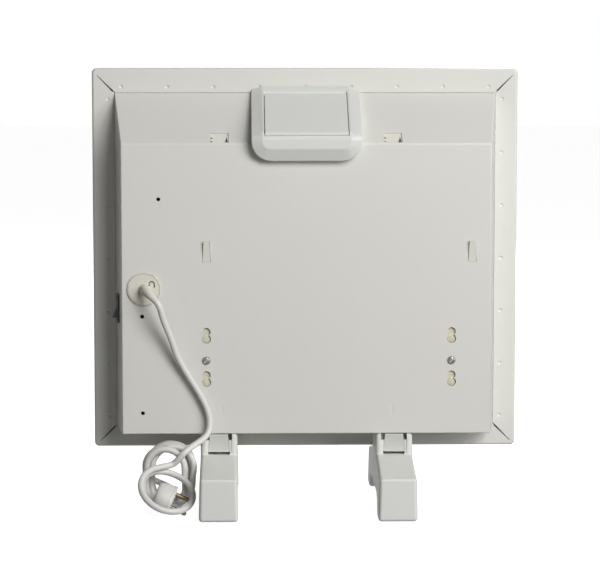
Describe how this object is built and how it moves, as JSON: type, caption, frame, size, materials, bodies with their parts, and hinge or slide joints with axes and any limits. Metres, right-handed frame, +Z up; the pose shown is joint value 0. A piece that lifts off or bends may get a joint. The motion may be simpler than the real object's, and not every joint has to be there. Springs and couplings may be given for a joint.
{
  "type": "convector heater",
  "caption": "White electric convector heater on two clip-on feet, seen from behind, with a lidded control housing and a bundled mains lead.",
  "frame": {"origin": "on the floor, under the middle of the heater's width and of the feet's length", "axes": "+Z up, +Y towards the wall side where the controls and lead are, -Y out of the heater's front, +X to the heater's left as seen from its front"},
  "size_m": [0.46, 0.229, 0.468],
  "materials": {
    "white_enamel": "satin white enamel",
    "white_plastic": "fine-textured white",
    "cream_plastic": "matte cream",
    "black_plastic": "gloss black",
    "white_cable": "soft white cable sheath",
    "aluminium": "mill",
    "steel": "zinc plated",
    "brass": "bright",
    "ceramic": "unglazed",
    "circuit_board": "green solder mask",
    "lens_red": "clear red"
  },
  "bodies": {
    "heater": {"front_panel": "white_enamel", "outlet_grille": "white_enamel", "rear_cover": "white_enamel", "heat_shield": "cream_plastic", "shield_screw_left": "steel", "shield_screw_right": "steel", "heating_element": "steel", "element_fins": "aluminium", "element_bracket_left": "steel", "element_bracket_right": "steel", "element_bush_left": "ceramic", "element_bush_right": "ceramic", "thermal_cutout": "ceramic", "terminal_block": "ceramic", "control_housing": "white_plastic", "lid_hinge_pin": "steel", "indicator_lens": "lens_red", "control_board": "circuit_board", "switch_body": "black_plastic", "foot_left": "white_plastic", "foot_right": "white_plastic", "cable_disc": "cream_plastic", "cord_boot": "cream_plastic", "cord_run": "white_cable", "cord_hank": "white_cable", "plug_body": "white_cable", "plug_pin_upper": "brass", "plug_pin_lower": "brass"},
    "lid": {"control_lid": "white_plastic"},
    "knob": {"thermostat_knob": "white_plastic"},
    "mode_button": {"mode_button": "black_plastic"},
    "power_button": {"power_button": "black_plastic"},
    "rocker": {"switch_rocker": "black_plastic"},
    "latch_left": {"foot_latch_left": "white_plastic"},
    "latch_right": {"foot_latch_right": "white_plastic"}
  },
  "joints": [
    {"name": "lid_hinge", "type": "hinge", "parent": "heater", "child": "lid", "pos_m": [0, -0.01995, 0.43801], "axis": [1, 0, 0], "range_deg": [0, 105]},
    {"name": "knob_turn", "type": "hinge", "parent": "heater", "child": "knob", "pos_m": [0.006, 0.01616, 0.41167], "axis": [0, 0.5032, 0.8642], "range_deg": [0, 270]},
    {"name": "mode_button_press", "type": "slide", "parent": "heater", "child": "mode_button", "axis": [0, -0.5032, -0.8642], "range_m": [0, 0.001], "stiffness_N_per_m": 300, "springref_m": -0.0005},
    {"name": "power_button_press", "type": "slide", "parent": "heater", "child": "power_button", "axis": [0, -0.5032, -0.8642], "range_m": [0, 0.001], "stiffness_N_per_m": 300, "springref_m": -0.0005},
    {"name": "rocker_tilt", "type": "hinge", "parent": "heater", "child": "rocker", "pos_m": [0.2011, 0.0005, 0.212], "axis": [-0.1423, 0.9898, 0], "range_deg": [0, 18]},
    {"name": "latch_left_press", "type": "hinge", "parent": "heater", "child": "latch_left", "pos_m": [0.0936, 0.0301, 0.069], "axis": [-1, 0, 0], "range_deg": [0, 10], "stiffness_Nm_per_rad": 0.3, "springref_deg": -2.86},
    {"name": "latch_right_press", "type": "hinge", "parent": "heater", "child": "latch_right", "pos_m": [-0.0936, 0.0301, 0.069], "axis": [-1, 0, 0], "range_deg": [0, 10], "stiffness_Nm_per_rad": 0.3, "springref_deg": -2.86}
  ]
}
